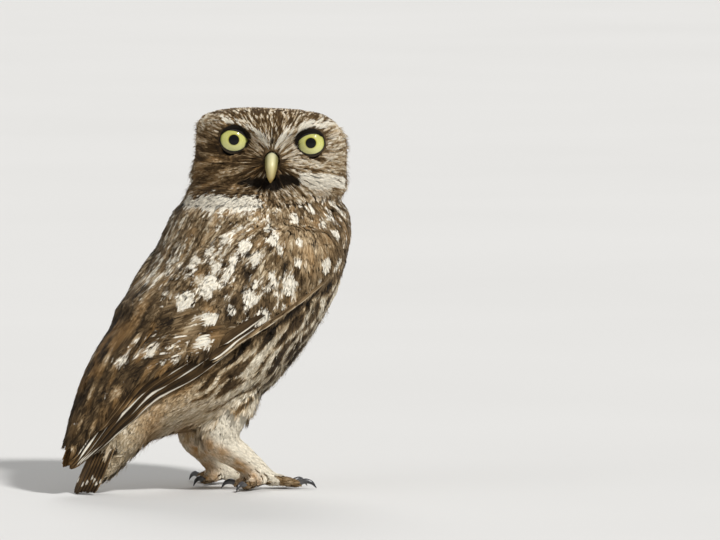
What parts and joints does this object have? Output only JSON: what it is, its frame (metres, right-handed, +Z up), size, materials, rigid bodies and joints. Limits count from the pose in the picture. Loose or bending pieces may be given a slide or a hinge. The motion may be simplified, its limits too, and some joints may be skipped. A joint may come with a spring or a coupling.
{
  "type": "little owl",
  "caption": "Life-size little owl standing upright, its head turned back over the right wing to look behind it.",
  "frame": {"origin": "on the floor, under the middle of the owl's bounding box", "axes": "+X the way the body faces, +Y to the bird's left, +Z up from the floor"},
  "size_m": [0.1562, 0.1014, 0.1919],
  "materials": {
    "plumage": "soft brown feathers with cream spots",
    "breast": "cream feathers streaked with brown",
    "flight_feathers": "firm brown vanes with pale bars",
    "leg_down": "white down",
    "toe_skin": "buff skin with bristles",
    "claw": "glossy black horn",
    "bill": "satin greenish yellow horn",
    "eye": "wet, yellow iris round a black pupil"
  },
  "bodies": {
    "root": {"torso": "breast", "neck": "plumage", "head": "plumage", "bill_upper": "bill", "bill_lower": "bill", "eye_left": "eye", "eye_right": "eye", "wing_left": "flight_feathers", "wing_right": "flight_feathers", "tail": "flight_feathers", "thigh_left": "breast", "thigh_right": "breast", "shank_left": "leg_down", "shank_right": "leg_down", "toe_left_inner": "toe_skin", "toe_left_middle": "toe_skin", "toe_left_outer": "toe_skin", "toe_left_hind": "toe_skin", "toe_right_inner": "toe_skin", "toe_right_middle": "toe_skin", "toe_right_outer": "toe_skin", "toe_right_hind": "toe_skin", "claw_left_inner": "claw", "claw_left_middle": "claw", "claw_left_outer": "claw", "claw_left_hind": "claw", "claw_right_inner": "claw", "claw_right_middle": "claw", "claw_right_outer": "claw", "claw_right_hind": "claw"}
  },
  "joints": []
}
